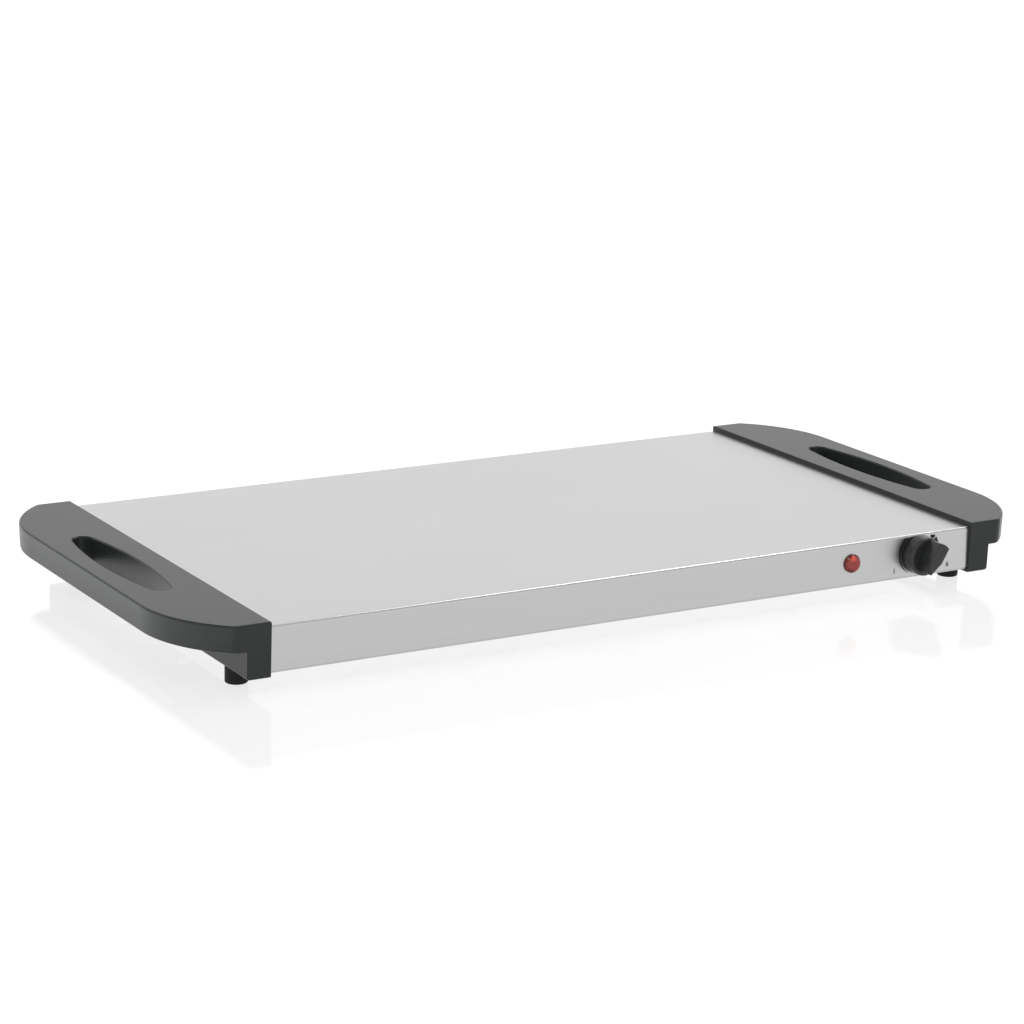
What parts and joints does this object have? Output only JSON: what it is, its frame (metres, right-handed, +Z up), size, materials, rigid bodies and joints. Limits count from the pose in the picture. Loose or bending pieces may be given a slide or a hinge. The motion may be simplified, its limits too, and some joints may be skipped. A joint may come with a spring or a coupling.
{
  "type": "buffet warmer",
  "caption": "Electric warming tray: a flat steel hot plate between moulded end handles with finger slots, with a thermostat knob and a pilot lamp on the front panel.",
  "frame": {"origin": "on the table under the middle of the overall box, knob included", "axes": "+X along the tray to the control end, +Y from the front panel to the rear panel, +Z up"},
  "size_m": [0.6036, 0.3178, 0.0435],
  "materials": {
    "plate_steel": "satin stainless sheet with a fine long grain",
    "pan_steel": "galvanised sheet",
    "handle_plastic": "fine moulded texture",
    "foot_rubber": "matte",
    "zinc_steel": "zinc plated",
    "knob_plastic": "satin",
    "brass": "turned",
    "ceramic": "unglazed",
    "lamp_red": "translucent red",
    "white_plastic": "satin",
    "bulb_glass": "clear",
    "silicone_sheath": "smooth silicone sheath",
    "brown_sheath": "smooth",
    "blue_sheath": "smooth",
    "earth_sheath": "green with yellow stripes",
    "foil": "bright foil",
    "glass_wool": "loose glass fibre mat",
    "black_plastic": "satin"
  },
  "bodies": {
    "chassis": {"heating_plate": "plate_steel", "base_pan": "pan_steel", "left_handle": "handle_plastic", "right_handle": "handle_plastic", "foot_front_left": "foot_rubber", "foot_front_right": "foot_rubber", "foot_rear_left": "foot_rubber", "foot_rear_right": "foot_rubber", "foot_screws": "zinc_steel", "handle_screws": "zinc_steel", "pan_nuts": "zinc_steel", "base_screws": "zinc_steel", "thermostat_bush": "brass", "bush_washer": "zinc_steel", "bush_nut": "brass", "thermostat_frame": "zinc_steel", "stack_insulators": "ceramic", "stack_rivet": "zinc_steel", "adjusting_leaf": "brass", "contact_leaf": "brass", "bimetal_strip": "zinc_steel", "push_pin": "ceramic", "lamp_lens": "lamp_red", "lamp_holder": "white_plastic", "lamp_clip": "zinc_steel", "neon_bulb": "bulb_glass", "lamp_resistor": "ceramic", "heating_cable": "silicone_sheath", "heater_foil": "foil", "insulation_mat": "glass_wool", "heat_shield": "pan_steel", "thermal_fuse": "zinc_steel", "fuse_clip": "zinc_steel", "terminal_block": "black_plastic", "terminal_tubes": "brass", "terminal_screws": "zinc_steel", "live_wires": "brown_sheath", "heater_leads": "silicone_sheath", "lamp_leads": "blue_sheath", "earth_wire": "earth_sheath", "earth_screw": "zinc_steel", "earth_tag": "brass", "earth_nut": "zinc_steel", "cord_gland": "black_plastic", "gland_nut": "black_plastic"},
    "knob": {"control_knob": "knob_plastic", "knob_spring": "zinc_steel", "thermostat_spindle": "zinc_steel"}
  },
  "joints": [
    {"name": "knob_turn", "type": "hinge", "parent": "chassis", "child": "knob", "pos_m": [0.2085, -0.1386, 0.0272], "axis": [0, 1, 0], "range_deg": [0, 294]}
  ]
}
